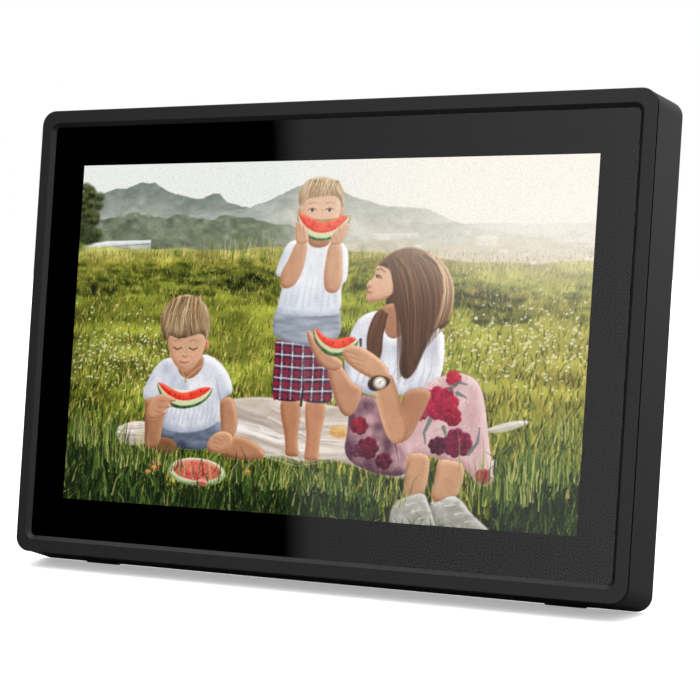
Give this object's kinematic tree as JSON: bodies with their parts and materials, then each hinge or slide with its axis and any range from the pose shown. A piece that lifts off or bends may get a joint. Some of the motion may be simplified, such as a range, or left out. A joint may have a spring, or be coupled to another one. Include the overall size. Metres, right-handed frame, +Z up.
{
  "type": "digital photo frame",
  "caption": "Landscape digital photo frame with a touch screen in a matt black case, leaning back on a hinged rear leg, with keys on its top edge.",
  "frame": {"origin": "middle of the floor area under the standing frame, on the table", "axes": "+Z up, +X to the right seen from the front along the frame's width, the screen faces -Y and leans back"},
  "size_m": [0.264, 0.0683, 0.1854],
  "materials": {
    "case_plastic": "fine matt moulded texture",
    "key_plastic": "satin",
    "plunger_plastic": "satin",
    "cover_glass": "polished",
    "film": "clear film",
    "tape": "foam tape",
    "lcd_glass": "polarised glass",
    "acrylic": "clear acrylic",
    "reflector": "white film",
    "led_white": "LED strip",
    "tray_steel": "zinc plated",
    "steel": "zinc plated",
    "pin_steel": "ground",
    "screw_steel": "zinc plated",
    "screw_black": "black oxide",
    "circuit_board": "green solder mask",
    "brass": "turned",
    "chip_epoxy": "moulded epoxy",
    "tin_plate": "tin plated",
    "can_aluminium": "drawn",
    "socket_plastic": "moulded",
    "ribbon_film": "polyimide",
    "cone_rubber": "matt",
    "wire_sheath": "soft sheath",
    "foot_rubber": "matt"
  },
  "bodies": {
    "case": {"front_bezel": "case_plastic", "cover_glass": "cover_glass", "touch_sensor": "film", "glass_tape": "tape", "lcd_cell": "lcd_glass", "optical_films": "film", "light_guide": "acrylic", "reflector": "reflector", "led_strip": "led_white", "lcd_tray": "tray_steel", "mid_frame": "case_plastic", "panel_clips": "steel", "clip_screws": "screw_steel", "main_board": "circuit_board", "board_standoffs": "brass", "board_screws": "screw_steel", "processor": "chip_epoxy", "memory_chips": "chip_epoxy", "shield_can": "tin_plate", "wifi_module": "tin_plate", "capacitors": "can_aluminium", "power_coils": "chip_epoxy", "clock_cell": "steel", "ribbon_sockets": "socket_plastic", "display_ribbon": "ribbon_film", "touch_ribbon": "ribbon_film", "dc_jack": "socket_plastic", "dc_pin": "brass", "usb_port": "tin_plate", "usb_tongue": "socket_plastic", "card_slot": "tin_plate", "speaker_left": "case_plastic", "speaker_right": "case_plastic", "speaker_cone_left": "cone_rubber", "speaker_cone_right": "cone_rubber", "speaker_leads": "wire_sheath", "wifi_antenna": "circuit_board", "antenna_lead": "wire_sheath", "key_board": "circuit_board", "key_switches": "socket_plastic", "rear_cover": "case_plastic", "feet": "foot_rubber", "mount_inserts": "brass", "case_screws": "screw_black", "hinge_plate": "steel", "hinge_base": "case_plastic", "hinge_screws": "screw_black", "hinge_pin": "pin_steel", "hinge_washers": "steel"},
    "leg": {"stand_leg": "case_plastic", "leg_pad": "foot_rubber"},
    "power_key": {"power_button": "key_plastic", "power_plunger": "plunger_plastic"},
    "volume_down_key": {"volume_down_button": "key_plastic", "volume_down_plunger": "plunger_plastic"},
    "volume_up_key": {"volume_up_button": "key_plastic", "volume_up_plunger": "plunger_plastic"}
  },
  "joints": [
    {"name": "leg_fold", "type": "hinge", "parent": "case", "child": "leg", "pos_m": [0, 0.0114, 0.12165], "axis": [-1, 0, 0], "range_deg": [0, 19]},
    {"name": "power_press", "type": "slide", "parent": "case", "child": "power_key", "axis": [0, -0.1506, -0.9886], "range_m": [0, 0.0006], "stiffness_N_per_m": 1500, "springref_m": -0.0002},
    {"name": "volume_down_press", "type": "slide", "parent": "case", "child": "volume_down_key", "axis": [0, -0.1506, -0.9886], "range_m": [0, 0.0006], "stiffness_N_per_m": 1500, "springref_m": -0.0002},
    {"name": "volume_up_press", "type": "slide", "parent": "case", "child": "volume_up_key", "axis": [0, -0.1506, -0.9886], "range_m": [0, 0.0006], "stiffness_N_per_m": 1500, "springref_m": -0.0002}
  ]
}
